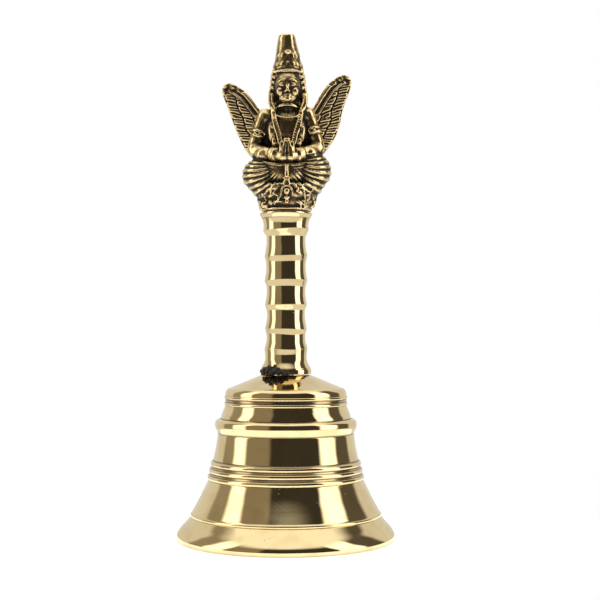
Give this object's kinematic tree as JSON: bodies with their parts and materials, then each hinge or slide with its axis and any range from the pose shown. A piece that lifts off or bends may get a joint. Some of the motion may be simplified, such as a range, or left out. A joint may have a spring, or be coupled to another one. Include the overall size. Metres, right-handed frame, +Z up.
{
  "type": "hand bell",
  "caption": "Brass puja hand bell: a flared turned cup with a hung ball clapper, a ribbed turned grip and a finial cast as a winged figure with joined palms.",
  "frame": {"origin": "on the bell's axis, in the plane of the lip that it stands on", "axes": "+Z up along the bell's axis to the crown of the figure; the figure faces -Y; +X is on the figure's left hand side"},
  "size_m": [0.0716, 0.0716, 0.1648],
  "materials": {
    "polished_brass": "turned and polished, with fine scratches",
    "antique_brass": "cast, darkened in the recesses and rubbed bright on the high parts",
    "steel": "plain, a little dull",
    "black_lac": "dull black, lumpy"
  },
  "bodies": {
    "bell": {"bell_cup": "polished_brass", "handle_grip": "polished_brass", "winged_figure": "antique_brass", "figure_stud": "steel", "tie_stud": "steel", "crown_washer": "steel", "hanger_nut": "polished_brass", "foot_seal": "black_lac"},
    "eye": {"swivel_eye": "steel"},
    "clapper": {"clapper_rod": "steel", "clapper_ball": "polished_brass"}
  },
  "joints": [
    {"name": "eye_swivel", "type": "hinge", "parent": "bell", "child": "eye", "pos_m": [0, 0, 0.0365], "axis": [0, 0, 1], "continuous": true},
    {"name": "clapper_swing", "type": "hinge", "parent": "eye", "child": "clapper", "pos_m": [0, 0, 0.0332], "axis": [1, 0, 0], "range_deg": [-42, 42]}
  ]
}
